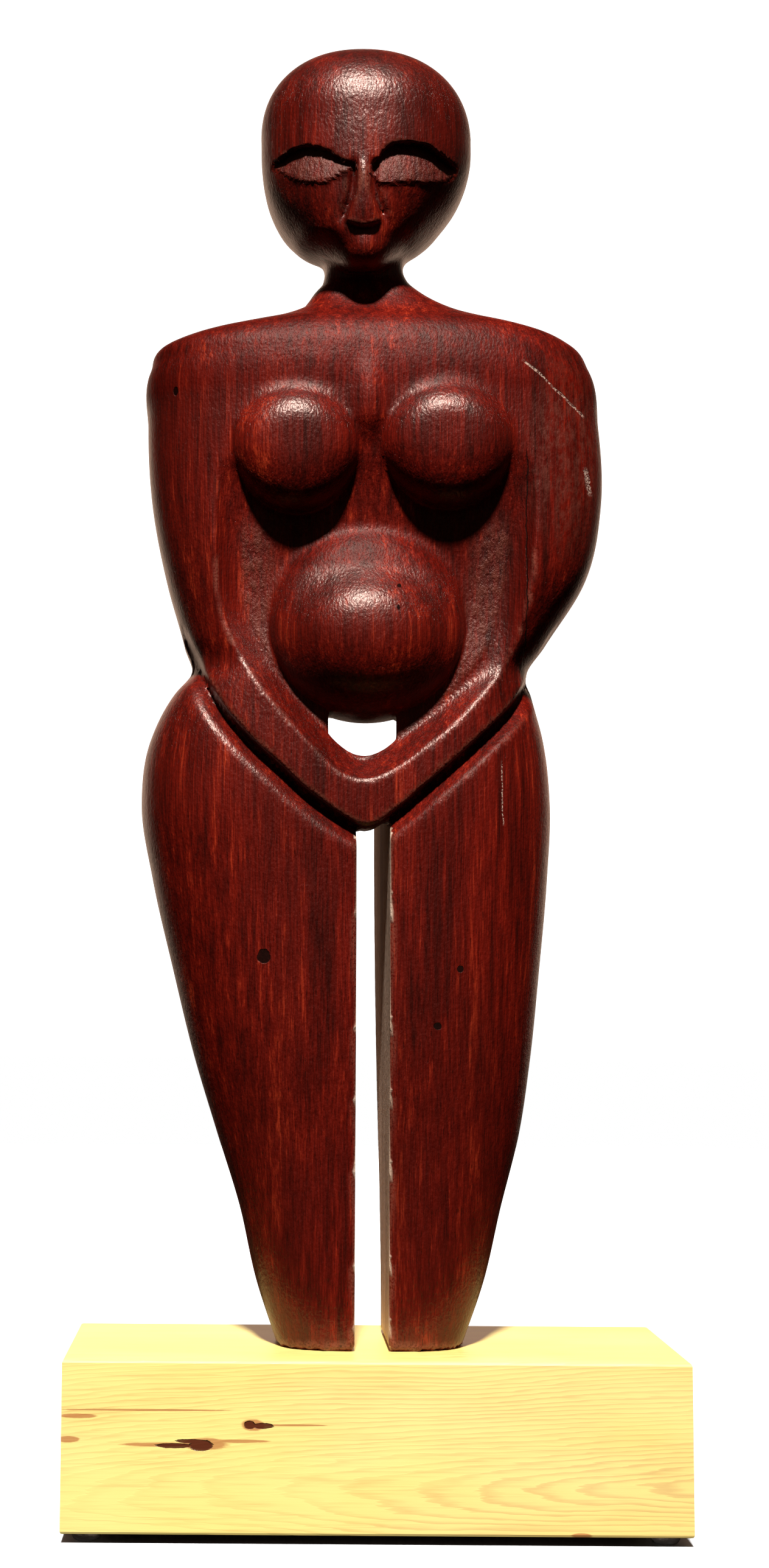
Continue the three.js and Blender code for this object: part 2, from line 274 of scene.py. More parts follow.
# The breasts: the middle's x and height and the half-width, then what both have in common.
BREASTS = ((-44, 502, 38), (40, 505, 40))
BREAST_MIDDLE, BREAST_DEPTH = -25, 33.5
BREAST_ABOVE, BREAST_BELOW = 30, 45  # half-heights over and under the middle
JAW_LEVEL, JAW_RISE, JAW_ROUND = 592.8, 0.36, 19.0  # height under the chin, slope to the back
NECK_TOP = 632  # where the neck ends, inside the head
HOLE_TOP, HOLE_CLIMB, HOLE_FLARE = 350, 0.13, 0.09  # at the hands' back, and slopes to the back
SILL_LOW, SILL_CURVE, SILL_MIDDLE = 322.5, 0.030, -5.5
SLOT_TOP = 326  # behind the hands, where the slot opens into the hole

# The face: the brows' edge, the lids' lower edge, and the nose, each as x and height.
BROW = np.array([
    [-62, 648], [-57.9, 652.5], [-51.9, 658], [-45.4, 662.5], [-37.4, 663.9], [-29.3, 662.3],
    [-22.1, 658.2], [-15.6, 654.5], [-11, 653.2], [-6, 653.2], [-1.1, 655.4], [2.6, 660],
    [8.5, 665.1], [17.4, 666.4], [25.4, 665.6], [32.7, 662.0], [38.3, 657], [44.5, 651.2],
    [50, 646],
])
LID = np.array([
    [-62, 652], [-57.9, 650.9], [-53.4, 648.3], [-47.8, 644.9], [-41.3, 643.1], [-33.3, 642.7],
    [-27.7, 643.6], [-22.9, 646.4], [-16.4, 650.2], [-12, 651], [-4, 648], [0.5, 643.5],
    [8, 642.8], [19, 643.4], [27, 642.9], [33.4, 643.0], [40.7, 645.5], [44.5, 649.5], [50, 652],
])
EYES = ((-36.0, 22.5, 4.8), (21.5, 23.5, 6.6))  # the middle and half-width in x, and the depth
NOSE_LINE = -7.2
# The face is laid out on a sheet at y = -48 and carried to the head on lines from one point.
EYE_X, EYE_DISTANCE, EYE_LEVEL = -69.0, 1228.0, 188.2
NOSE_HALF = np.array([[612, 12], [620.5, 10.8], [629, 8.0], [637.5, 5.4], [646, 4.2], [656, 4.2]])
NOSE_TALL = np.array([[612, 3.3], [620.5, 4.0], [629, 4.4], [637.5, 4.2], [646, 3.3], [656, 0.8]])


def face(x, h):
    """How much the head's front is carved in, in millimetres; a negative amount stands out."""
    off = x - NOSE_LINE
    brow, lid = through(BROW, x), through(LID, x)
    below_brow = ease(0.5, -0.9, h - brow)
    bridge = 1 - np.exp(-((off / 6) ** 2)) * ease(634, 656, h)
    depth = 1.6 * below_brow * ease(594, 640, h) * ease(53, 36, np.abs(off)) * bridge
    up = np.clip((h - lid) / np.maximum(brow - lid, 1), 0, 1)
    for middle, half, deep in EYES:
        bow = np.clip(1 - ((x - middle) / half) ** 4, 0, 1) ** 0.5
        socket = 0.7 + (deep - 0.7) * bow * up**1.15
        inside = ease(-1.2, 0.4, h - lid) * below_brow * ease(0, 0.25, bow)
        depth = depth * (1 - inside) + socket * inside
    half, tall = through(NOSE_HALF, h), through(NOSE_TALL, h)
    crown = np.clip(1 - (np.abs(off) / (half + 0.4)) ** 5, 0, 1)
    beside_nose = np.exp(-(((np.abs(off) - half - 1.5) / 2.0) ** 2)) * ease(614, 630, h)
    depth = depth + 4.0 * beside_nose * ease(660, 650, h)
    edge = 618.2 + 4.0 * np.minimum(np.abs(off) / 11, 1.2) ** 2
    nose = tall * crown * ease(-0.6, 0.7, h - edge) * ease(662, 652, h)
    muzzle = 1.1 * np.exp(-((off / 10) ** 2) - ((h - 606) / 8) ** 2)
    return depth - nose - muzzle


def on_sheet(x, y, h):
    """Where a place on the head lies on the sheet that the face is laid out on, as x and height."""
    spread = (EYE_DISTANCE - 48) / (EYE_DISTANCE + y)
    return EYE_X + (x - EYE_X) * spread, EYE_LEVEL + (h - EYE_LEVEL) * spread


def skull(x, y, h):
    """The head: upright ellipses below its widest level and a dome above, with the face carved in."""
    middle, centre, half_width, half_depth = sections(HEAD, h)
    rise = np.maximum(h - DOME_LEVEL, 0)
    middle = middle - 0.05 * rise
    centre = centre + 0.05 * np.maximum(h - 650, 0)
    n = 2.2
    reach = (
        np.abs((x - middle) / half_width) ** n
        + np.abs((y - centre) / half_depth) ** n
        + (rise / (CROWN - DOME_LEVEL)) ** n
    ) ** (1 / n)
    length = np.sqrt((x - middle) ** 2 + (y - centre) ** 2 + rise**2)
    head = length * (1 - 1 / np.maximum(reach, 1e-3))
    head = head + face(*on_sheet(x, y, h)) * ease(2, -18, y)
    return cut(head, JAW_LEVEL + JAW_RISE * (y + 44) - h, JAW_ROUND)


def belly(x, y, h):
    """A broad shallow dome with a rounder ball standing out of its lower part."""
    return join(rounded(x, y, h, *DOME, 4.5), rounded(x, y, h, *BALL, 2.3), 13.0)


def carving(x, y, h):
    """The whole figure as one value: negative in the wood, zero on its surface, in millimetres."""
    body = trunk(x, y, h)
    body = cut(body, recess_depth(x, h) - y, 1.0)
    body = cut(body, groove_depth(x, h) - y, 1.6 + 3.0 * ease(10, -40, x))

    body = join(body, lump(x, y, h, *STERNUM), 8.0)
    for middle, height, half in BREASTS:
        tall = np.where(h > height, BREAST_ABOVE, BREAST_BELOW)
        power = 2.2 + 0.9 * ease(height + 14, height - 16, h)
        centre = (middle, BREAST_MIDDLE, height)
        breast = rounded(x, y, h, centre, (half, BREAST_DEPTH, tall), power)
        body = join(body, breast, 2.0 + 5.0 * ease(height + 12, height + 26, h))

    ceiling = HOLE_TOP + HOLE_CLIMB * (y - HANDS_BACK)
    flare = HOLE_FLARE * (y + 46)
    sides = np.maximum(OPENING[0] - x, x - OPENING[1] - flare)
    sill = SILL_LOW + SILL_CURVE * (x - SILL_MIDDLE) ** 2
    hole = np.maximum(sides, np.maximum(sill - h, h - ceiling))
    body = cut(body, -hole, 1.2)
    body = join(body, belly(x, y, h), 2.5 + 7.0 * ease(398, 425, h))

    sides = np.maximum(SLOT[0] - x, x - SLOT[1])
    free = np.minimum(-beside(LOWER, x, h), HANDS_BACK - y)
    slot = np.maximum(sides, np.maximum(free, h - SLOT_TOP))
    body = cut(body, -slot, 1.6)

    body = cut(body, h - NECK_TOP, 1.0)
    whole = join(body, skull(x, y, h), 5.0)
    return cut(whole, -h, 1.0)


def finish_areas(points, stands, normal):
    """Where each kind of finish lies, as one number from 0 to 1 for each vertex: raw sawn faces in
    the slot, tool cuts in the recess and on the lids, duller areas, ridges for wear and painted highlight,
    and hollows for painted shade."""
    x, y, h = points.T
    in_slot = (np.abs(normal[:, 0]) > 0.9) & (np.abs(x - sum(SLOT) / 2) < 10) & (h < 330)
    inside = -beside(RIDGE, x, h)
    off_belly = belly(x, y, h)
    strip = ease(12, 16, inside) * ease(40, 24, inside) * ease(462, 440, h)
    strip = strip * ease(0, 3, off_belly) * (y < -5)
    sheet_x, sheet_h = on_sheet(x, y, h)
    lids = ease(-0.5, 1.0, sheet_h - through(LID, sheet_x))
    lids = lids * ease(0, -1.5, sheet_h - through(BROW, sheet_x))
    lids = lids * (y < -12) * (face(sheet_x, sheet_h) > 0.2)
    under = beside(LOWER, x, h)
    thigh = ease(0, 1, under) * ease(14, 10, under) * ease(-50, -10, x)
    shoulder = ease(521, 531, h) * ease(596, 584, h)
    crest = ease(9, 2, off_belly) * ease(418, 430, h)
    return {
        "raw": in_slot,
        "tooled": np.maximum(strip, lids),
        "dull": np.maximum(np.maximum(thigh, shoulder), crest) * (y < 0),
        "ridge": ease(0.55, 1.3, stands),
        "hollow": ease(0.7, 2.0, -stands),
    }


def contour(values, axes):
    """Surface nets: a vertex in each cell that the surface crosses, at the mean of the crossings on
    the cell's edges, and a quad across each grid edge that it crosses."""
    inside = values < 0
    shape = tuple(n - 1 for n in values.shape)
    count = np.zeros(shape, np.uint8)
    corners = [(i, j, k) for i in (0, 1) for j in (0, 1) for k in (0, 1)]
    for i, j, k in corners:
        count += inside[i : i + shape[0], j : j + shape[1], k : k + shape[2]]
    cells = np.argwhere((count > 0) & (count < 8))
    number = np.full(shape, -1, np.int32)
    number[tuple(cells.T)] = np.arange(len(cells))
    total, hits = np.zeros((len(cells), 3)), np.zeros(len(cells))
    for axis in range(3):
        for corner in corners:
            if corner[axis]:
                continue
            a = cells + np.array(corner)
            b = a + np.eye(3, dtype=int)[axis]
            va, vb = values[tuple(a.T)], values[tuple(b.T)]
            crosses = (va < 0) != (vb < 0)
            t = np.where(crosses, va / np.where(crosses, va - vb, 1), 0)[:, None]
            pa = np.stack([axes[k][a[:, k]] for k in range(3)], 1)
            pb = np.stack([axes[k][b[:, k]] for k in range(3)], 1)
            total += (pa + (pb - pa) * t) * crosses[:, None]
            hits += crosses
    quads = []
    for axis in range(3):
        u, v = (axis + 1) % 3, (axis + 2) % 3
        low = [slice(1, -1)] * 3
        low[axis] = slice(0, -1)
        high = [slice(1, -1)] * 3
        high[axis] = slice(1, None)
        here, there = inside[tuple(low)], inside[tuple(high)]
        for enters in (False, True):
            edge = np.argwhere((here != there) & (here == enters))
            edge[:, [u, v]] += 1
            ring = []
            for du, dv in ((1, 1), (0, 1), (0, 0), (1, 0)):
                cell = edge.copy()
                cell[:, u] -= du
                cell[:, v] -= dv
                ring.append(number[tuple(cell.T)])
            quads.append(np.stack(ring if enters else ring[::-1], 1))
    return total / hits[:, None], np.concatenate(quads)


def settle(points, rounds=2, probe=0.35, most=1.2):
    """Moves points onto the surface, straight down the value's slope, which is measured by small
    steps along each axis."""
    points = points.copy()
    for _ in range(rounds):
        value = carving(*points.T)
        slope = np.stack([
            carving(*(points + probe * np.eye(3)[k]).T) - carving(*(points - probe * np.eye(3)[k]).T)
            for k in range(3)
        ], 1) / (2 * probe)
        move = slope * (value / np.maximum((slope**2).sum(1), 0.05))[:, None]
        size = np.linalg.norm(move, axis=1, keepdims=True)
        points -= move * np.minimum(1, most / np.maximum(size, 1e-9))
    return points


def bulge(points, quads, rounds=4):
    """How far each vertex stands out of its neighbourhood, in millimetres: the distance, along
    the normal, from the vertex down to the place where repeated averaging puts it."""
    edges = np.concatenate([quads[:, [a, (a + 1) % 4]] for a in range(4)])
    degree = np.bincount(edges.ravel(), minlength=len(points))[:, None]
    flat = points.copy()
    for _ in range(rounds):
        total = np.zeros_like(flat)
        for k in range(3):
            total[:, k] = np.bincount(edges[:, 0], flat[edges[:, 1], k], len(points)) + np.bincount(
                edges[:, 1], flat[edges[:, 0], k], len(points)
            )
        flat = total / degree
    corner = points[quads]
    face_normal = np.cross(corner[:, 2] - corner[:, 0], corner[:, 3] - corner[:, 1])
    normal = np.zeros_like(points)
    for a in range(4):
        for k in range(3):
            normal[:, k] += np.bincount(quads[:, a], face_normal[:, k], len(points))
    normal /= np.maximum(np.linalg.norm(normal, axis=1, keepdims=True), 1e-9)
    return ((points - flat) * normal).sum(1), normal


def new_piece(name, points, faces, material):
    """A mesh object at the origin whose place is in its mesh, riding on the model's one body."""
    mesh = bpy.data.meshes.new(name)
    mesh.from_pydata(points.tolist(), [], faces.tolist())
    mesh.polygons.foreach_set("use_smooth", np.ones(len(mesh.polygons), bool))
    mesh.update()
    piece = bpy.data.objects.new(name, mesh)
    bpy.context.scene.collection.objects.link(piece)
    mesh.materials.append(material)
    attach(piece, "root")
    return piece


def paint(piece, name, values):
    """Stores one number per vertex on a piece, for its material to read."""
    attribute = piece.data.attributes.new(name, "FLOAT", "POINT")
    attribute.data.foreach_set("value", np.asarray(values, np.float32))


# ---------------------------------------------------------------------------------------------
# Finishes
# ---------------------------------------------------------------------------------------------


class Finish:
    """A material's node tree, with short calls for the nodes that the finishes use."""

    def __init__(self, name):
        self.material = bpy.data.materials.new(name)
        self.material.use_nodes = True
        self.tree = self.material.node_tree
        self.shader = self.tree.nodes["Principled BSDF"]
        self.place = self.node("ShaderNodeTexCoord").outputs["Object"]

    def node(self, kind, inputs=(), **settings):
        made = self.tree.nodes.new(kind)
        for key, value in settings.items():
            setattr(made, key, value)
        for key, value in dict(inputs).items():
            self.feed(made.inputs[key], value)
        return made

    def feed(self, socket, value):
        if isinstance(value, bpy.types.NodeSocket):
            self.tree.links.new(value, socket)
        else:
            socket.default_value = value

    def moved(self, scale, shift=(0, 0, 0), turn=(0, 0, 0)):
        inputs = {"Vector": self.place, "Scale": scale, "Location": shift, "Rotation": turn}
        return self.node("ShaderNodeMapping", inputs).outputs["Vector"]

    def noise(self, vector, scale=1.0, detail=3.0, rough=0.55, twist=0.0):
        inputs = {"Vector": vector, "Scale": scale, "Detail": detail, "Roughness": rough}
        inputs["Distortion"] = twist
        return self.node("ShaderNodeTexNoise", inputs).outputs["Fac"]

    def ramp(self, value, *stops):
        made = self.node("ShaderNodeValToRGB", {"Fac": value})
        while len(made.color_ramp.elements) < len(stops):
            made.color_ramp.elements.new(0.5)
        for element, (where, shade) in zip(made.color_ramp.elements, stops):
            element.position = where
            element.color = (*shade, 1) if hasattr(shade, "__len__") else (shade, shade, shade, 1)
        return made.outputs["Color"]

    def math(self, operation, a, b=0.0, c=0.0, clamp=False):
        made = self.node("ShaderNodeMath", {0: a, 1: b, 2: c}, operation=operation, use_clamp=clamp)
        return made.outputs[0]

    def ease(self, value, low, high):
        inputs = {"Value": value, "From Min": low, "From Max": high, "To Min": 0.0, "To Max": 1.0}
        return self.node("ShaderNodeMapRange", inputs, interpolation_type="SMOOTHSTEP").outputs[0]

    def mix(self, amount, a, b, blend="MIX"):
        made = self.node("ShaderNodeMix", data_type="RGBA", blend_type=blend)
        for socket, value in zip((made.inputs[0], made.inputs[6], made.inputs[7]), (amount, a, b)):
            if not isinstance(value, bpy.types.NodeSocket) and hasattr(value, "__len__"):
                value = (*value, 1)[:4]
            self.feed(socket, value)
        return made.outputs[2]

    def attribute(self, name):
        return self.node("ShaderNodeAttribute", attribute_name=name).outputs["Fac"]

    def near(self, point, size):
        """One at a point, falling to zero at an ellipsoid of that size round it, in metres."""
        stretch = tuple(1 / s for s in size)
        shift = tuple(-p * s for p, s in zip(point, stretch))
        inputs = {0: self.moved(stretch, shift)}
        length = self.node("ShaderNodeVectorMath", inputs, operation="LENGTH").outputs["Value"]
        return self.ease(length, 1.0, 0.35)

    def bump(self, height, distance, strength=1.0, under=None):
        inputs = {"Height": height, "Distance": distance, "Strength": strength}
        if under is not None:
            inputs["Normal"] = under
        return self.node("ShaderNodeBump", inputs).outputs["Normal"]

    def shade(self, **values):
        for key, value in values.items():
            self.feed(self.shader.inputs[key.replace("_", " ")], value)


# Colours inside the hardwood: open pores, painted shade for the hollows, knots, cracks and their filler,
# then the stripes of a freshly sawn face, each with its place on the ramp.
PORE = (0.010, 0.001, 0.0005)
HOLLOW_SHADE = (0.010, 0.003, 0.002)
KNOT = (0.004, 0.0015, 0.001)
CRACK = (0.008, 0.003, 0.002)
FILLER = (0.55, 0.36, 0.27)
SAWN = ((0.3, (0.22, 0.14, 0.095)), (0.5, (0.62, 0.43, 0.30)), (0.7, (0.88, 0.70, 0.54)))


def hardwood(colours):
    """Dark red-brown hardwood, rubbed to a satin polish: upright streaks at three widths, short
    dark pores, ridges paler from wear and a painted highlight, hollows darkened by painted shade,
    rough tool-cut recesses, raw sawn faces in the slot, a few knots and fine cracks."""
    wood = Finish("carved_hardwood")
    broad = wood.noise(wood.moved((1, 1, 0.06)), 45, 2, 0.5, 0.3)
    streak = wood.noise(wood.moved((1, 1, 0.035)), 260, 3, 0.6, 0.2)
    fine = wood.noise(wood.moved((1, 1, 0.03)), 1100, 3, 0.65)
    pores = wood.ease(wood.noise(wood.moved((1, 1, 0.06)), 2300, 1, 0.5), 0.37, 0.27)
    tone = wood.math("MULTIPLY_ADD", streak, 0.38, wood.math("MULTIPLY", broad, 0.25))
    tone = wood.math("MULTIPLY_ADD", fine, 0.37, tone)
    colour = wood.ramp(
        tone,
        (0.38, tuple(colours.hardwood_dark)),
        (0.48, tuple(colours.hardwood)),
        (0.56, tuple(colours.hardwood_red)),
        (0.68, tuple(colours.hardwood_streak)),
    )
    patches = wood.ease(wood.noise(wood.moved((1, 1, 0.3)), 14, 2), 0.40, 0.62)
    height = wood.node("ShaderNodeSeparateXYZ", {0: wood.place}).outputs[2]
    shins = wood.ease(height, 0.46, 0.20)
    shade = wood.math("MULTIPLY_ADD", shins, 0.28, wood.math("MULTIPLY", patches, 0.3))
    colour = wood.mix(shade, colour, colours.hardwood_dark)
    colour = wood.mix(wood.math("MULTIPLY", pores, 0.6), colour, PORE)

    speck = wood.noise(wood.place, 900, 2, 0.6)
    scuffs = wood.noise(wood.moved((1, 1, 0.6)), 260, 4, 0.7)
    tooled = wood.attribute("tooled")
    tool_cut = wood.math("MULTIPLY", tooled, wood.ease(scuffs, 0.4, 0.65))
    colour = wood.mix(wood.math("MULTIPLY", tool_cut, 0.8), colour, colours.tool_cut)
    rubbed = wood.near(place(108, -30, 492), (0.034, 0.060, 0.075))
    rubbed = wood.math("MULTIPLY", rubbed, wood.ease(scuffs, 0.38, 0.66))
    colour = wood.mix(wood.math("MULTIPLY", rubbed, 0.55), colour, colours.tool_cut)
    # Paler ridges: partly wear, partly a painted highlight where the edges catch the light.
    worn_and_lit = wood.math("MULTIPLY", wood.attribute("ridge"), wood.ease(speck, 0.3, 0.6))
    colour = wood.mix(wood.math("MULTIPLY", worn_and_lit, 0.5), colour, colours.worn_edge_and_highlight)
    # Painted shade: concave hollows are darkened towards near-black.
    hollow_shade = wood.math("MULTIPLY", wood.attribute("hollow"), 0.75)
    colour = wood.mix(hollow_shade, colour, HOLLOW_SHADE)

    rings = wood.noise(wood.moved((1, 1, 0.02)), 320, 3, 0.6)
    raw_colour = wood.ramp(rings, *SAWN)
    raw = wood.attribute("raw")
    colour = wood.mix(raw, colour, raw_colour)

    knots = 0.0
    for x, h, across, up in KNOTS:
        knots = wood.math("MAXIMUM", knots, wood.near(place(x, -44, h), (across * MM, 0.03, up * MM)))
    knots = wood.ease(wood.math("MULTIPLY_ADD", scuffs, 1.3, knots), 0.95, 1.15)
    colour = wood.mix(wood.math("MULTIPLY", knots, 0.95), colour, KNOT)

    wobble = wood.math("MULTIPLY_ADD", wood.noise(wood.moved((1, 1, 1)), 90, 3), 0.0035, -0.00175)
    split = wood.node("ShaderNodeSeparateXYZ", {0: wood.place})
    crack, filler = 0.0, 0.0
    for (x0, h0), (x1, h1), half, pale in CRACKS:
        start, end = place(x0, 0, h0), place(x1, 0, h1)
        run = end - start
        length = math.hypot(run.x, run.z)
        dx = wood.math("SUBTRACT", wood.math("ADD", split.outputs[0], wobble), start.x)
        dz = wood.math("SUBTRACT", split.outputs[2], start.z)
        run_x, run_z = run.x / length, run.z / length
        across = wood.math("SUBTRACT", wood.math("MULTIPLY", dx, run_z), wood.math("MULTIPLY", dz, run_x))
        down = wood.math("ADD", wood.math("MULTIPLY", dx, run_x), wood.math("MULTIPLY", dz, run_z))
        line = wood.ease(wood.math("ABSOLUTE", across), half * MM, half * MM * 0.4)
        middle = wood.math("ABSOLUTE", wood.math("SUBTRACT", down, length / 2))
        line = wood.math("MULTIPLY", line, wood.ease(middle, length / 2, length / 2 - 0.004))
        line = wood.math("MULTIPLY", line, wood.ease(split.outputs[1], ORIGIN.y, ORIGIN.y - 0.01))
        if pale:
            filler = wood.math("MAXIMUM", filler, wood.math("MULTIPLY", line, wood.ease(speck, 0.42, 0.55)))
        else:
            crack = wood.math("MAXIMUM", crack, line)
    colour = wood.mix(wood.math("MULTIPLY", crack, 0.9), colour, CRACK)
    colour = wood.mix(wood.math("MULTIPLY", filler, 0.8), colour, FILLER)

    gloss = wood.math("MULTIPLY_ADD", fine, 0.14, 0.27)
    gloss = wood.math("MULTIPLY_ADD", wood.math("MAXIMUM", tooled, rubbed), 0.16, gloss)
    dull = wood.attribute("dull")
    gloss = wood.math("MULTIPLY_ADD", dull, 0.10, gloss)
    gloss = wood.math("MULTIPLY_ADD", raw, 0.4, gloss)
    gloss = wood.math("MULTIPLY_ADD", knots, 0.45, gloss, clamp=True)
    grain = wood.math("SUBTRACT", wood.math("MULTIPLY", fine, 0.5), wood.math("MULTIPLY", pores, 0.7))
    normal = wood.bump(grain, 0.00014)
    normal = wood.bump(wood.noise(wood.moved((1, 1, 0.6)), 700, 2), 0.00035, 1.0, normal)
    normal = wood.bump(wood.noise(wood.moved((1, 1, 0.5)), 110, 2), 0.0006, 0.6, normal)
    chisel = wood.math("MULTIPLY", wood.math("ADD", tooled, raw), scuffs)
    normal = wood.bump(chisel, 0.0016, 1.0, normal)
    dents = wood.math("ADD", wood.math("ADD", crack, filler), knots)
    normal = wood.bump(wood.math("MULTIPLY", dents, -1.0), 0.0005, 1.0, normal)
    shine = wood.math("MULTIPLY_ADD", dull, -0.34, 0.45)
    shine = wood.math("MULTIPLY_ADD", knots, -0.4, shine, clamp=True)
    wood.shade(Base_Color=colour, Roughness=gloss, Normal=normal)
    wood.shade(Specular_IOR_Level=shine, Specular_Tint=(1.0, 0.70, 0.58, 1.0))
    return wood.material


# Dark knots and nicks on the figure's front: x, height, half-width and half-height.
KNOTS = (
    (-60.7, 211, 5.0, 5.5), (46, 205, 2.6, 2.6), (33.6, 174, 3.0, 2.6), (-112, 528, 2.4, 4.5),
    (12.5, 414, 1.6, 1.8), (11.5, 401, 1.6, 3.0),
)
# Cracks: start and end in x and height, half-width, and whether pale filler shows in them.
CRACKS = (
    ((82, 545), (100, 530), 1.0, True), ((98, 531), (119, 515), 1.0, True),
    ((84.5, 494), (84.0, 372), 0.45, False), ((69.5, 320), (69.8, 283), 0.5, True),
    ((118, 487), (122, 470), 2.2, True),
)


def pine(colours):
    """Planed yellow pine: growth rings round an axis that runs the length of the timber below its
    front, so the front shows long stripes that open into arches at one end, with fine upright
    grain, two resinous knots and a few red stains."""
    wood = Finish("pine_timber")
    tilt = (0.0, math.radians(1.6), math.radians(-3.5))
    centred = wood.node("ShaderNodeMapping", {"Vector": wood.place, "Location": tuple(-BLOCK_MIDDLE)})
    turned = wood.node("ShaderNodeMapping", {"Vector": centred.outputs[0], "Rotation": tilt})
    sway = wood.noise(wood.moved((0.35, 1, 1)), 9, 2, 0.5)
    split = wood.node("ShaderNodeSeparateXYZ", {0: turned.outputs[0]})
    away = wood.math("ADD", split.outputs[2], wood.math("MULTIPLY_ADD", sway, 0.022, 0.010))
    deep = wood.math("ADD", split.outputs[1], 0.085)
    radius = wood.math("ADD", wood.math("MULTIPLY", away, away), wood.math("MULTIPLY", deep, deep))
    radius = wood.math("SQRT", radius)
    fibre = wood.noise(wood.moved((0.02, 1, 1)), 900, 3, 0.6)
    drift = wood.math("MULTIPLY", wood.noise(wood.moved((0.10, 1, 1)), 70, 4, 0.65), 3.2)
    drift = wood.math("MULTIPLY_ADD", fibre, 0.5, drift)
    rings = wood.math("FRACT", wood.math("MULTIPLY_ADD", radius, 470.0, drift))
    late = wood.ramp(rings, (0.0, 0.15), (0.5, 0.3), (0.84, 1.0), (0.96, 0.8), (1.0, 0.15))
    length = wood.node("ShaderNodeSeparateXYZ", {0: wood.place}).outputs[0]
    faint = wood.ease(wood.noise(wood.moved((0.25, 1, 1)), 22, 3), 0.35, 0.65)
    right = wood.ease(length, -0.02, 0.12)
    strength = wood.math("MULTIPLY_ADD", right, 0.25, wood.math("MULTIPLY_ADD", faint, 0.45, 0.12))
    warmth = wood.math("MULTIPLY", wood.ease(length, -0.05, 0.2), 0.45)
    warm = tuple(a * b for a, b in zip(colours.pine, (1.0, 0.80, 0.55)))
    colour = wood.mix(warmth, colours.pine, warm)
    colour = wood.mix(wood.math("MULTIPLY", late, strength), colour, colours.pine_ring)
    colour = wood.mix(wood.math("MULTIPLY", wood.ease(fibre, 0.48, 0.72), 0.3), colour, colours.pine_ring)
    cloud = wood.ease(wood.noise(wood.moved((0.3, 1, 1)), 12, 3), 0.35, 0.7)
    colour = wood.mix(wood.math("MULTIPLY", cloud, 0.3), colour, colours.pine_light)

    speck = wood.noise(wood.moved((0.25, 1, 1)), 330, 4, 0.7)
    stain, core = 0.0, 0.0
    for x, z, across, up, dark in STAINS:
        spot = wood.near(Vector((x * MM, BLOCK_FRONT, z * MM)), (across * MM, 0.008, up * MM))
        if dark:
            core = wood.math("MAXIMUM", core, spot)
        else:
            stain = wood.math("MAXIMUM", stain, spot)
    stain = wood.ease(wood.math("MULTIPLY_ADD", speck, 1.0, stain), 0.75, 1.25)
    core = wood.ease(wood.math("MULTIPLY_ADD", speck, 1.4, core), 1.05, 1.35)
    colour = wood.mix(wood.math("MULTIPLY", stain, 0.75), colour, colours.resin)
    colour = wood.mix(wood.math("MULTIPLY", core, 0.95), colour, colours.knot)
    gloss = wood.math("MULTIPLY_ADD", late, -0.08, 0.5)
    gloss = wood.math("MULTIPLY_ADD", core, -0.2, gloss)
    normal = wood.bump(wood.math("MULTIPLY_ADD", fibre, 0.5, wood.math("MULTIPLY", late, 0.5)), 0.00006)
    normal = wood.bump(wood.math("MULTIPLY", core, -1.0), 0.0012, 1.0, normal)
    wood.shade(Base_Color=colour, Roughness=gloss, Normal=normal, Coat_Weight=0.12, Coat_Roughness=0.3)
    return wood.material


# Marks on the timber's front: x, height above the floor, half-width, half-height, dark core or not.
STAINS = (
    (-66.5, 61.3, 4.5, 3.2, True), (-65, 61.4, 9, 4.5, False), (-60, 60.8, 8, 2.2, True),
    (-92, 50.6, 9, 4.4, True), (-106, 50.4, 14, 1.9, True), (-97, 52.8, 12, 1.6, True),
    (-90, 51.5, 18, 4.6, False), (-112, 51.0, 30, 1.6, False),
    (-72, 53.0, 22, 1.3, False), (-44, 61.3, 26, 0.7, False),
    (-156, 65.3, 14, 1.8, False), (-161, 53.3, 8, 2.4, False), (-120, 68.6, 62, 0.8, False),
    (106, 6.2, 8, 2.0, False),
)


def clear_rubber():
    """Clear soft bumper: pale, see-through, with faint cloudiness."""
    soft = Finish("clear_bumper")
    cloud = soft.noise(soft.place, 400, 3)
    tint = soft.ramp(cloud, (0.3, (0.93, 0.94, 0.92)), (0.7, (0.99, 0.99, 0.98)))
    rough = soft.math("MULTIPLY_ADD", cloud, 0.25, 0.05)
    normal = soft.bump(soft.noise(soft.place, 900, 2), 0.00008)
    soft.shade(Base_Color=tint, Roughness=rough, Normal=normal, Transmission_Weight=0.3, IOR=1.47)
    return soft.material


def plated_steel():
    """Bright zinc plate: cool grey with a fine spangle and slight brushing."""
    metal = Finish("zinc_steel")
    spangle = metal.noise(metal.place, 700, 2, 0.5)
    shade = metal.ramp(spangle, (0.3, (0.48, 0.49, 0.50)), (0.7, (0.70, 0.71, 0.72)))
    brushed = metal.noise(metal.moved((1, 1, 0.1)), 1600, 2)
    rough = metal.math("MULTIPLY_ADD", brushed, 0.2, 0.22)
    metal.shade(Base_Color=shade, Roughness=rough, Metallic=1.0, Normal=metal.bump(brushed, 0.00005))
    return metal.material


def pale_floor(colours):
    """Matt pale floor with the faintest mottling."""
    floor = Finish("pale_floor")
    mottle = floor.noise(floor.place, 6, 3)
    low = tuple(c * 0.97 for c in colours.floor)
    floor.shade(Base_Color=floor.ramp(mottle, (0.35, low), (0.65, tuple(colours.floor))), Roughness=0.8)
    return floor.material


# ---------------------------------------------------------------------------------------------
# Settings
# ---------------------------------------------------------------------------------------------


def colour_prop(name, description, default):
    return FloatVectorProperty(
        name=name, description=description, default=default, subtype="COLOR", size=3, min=0, max=1
    )


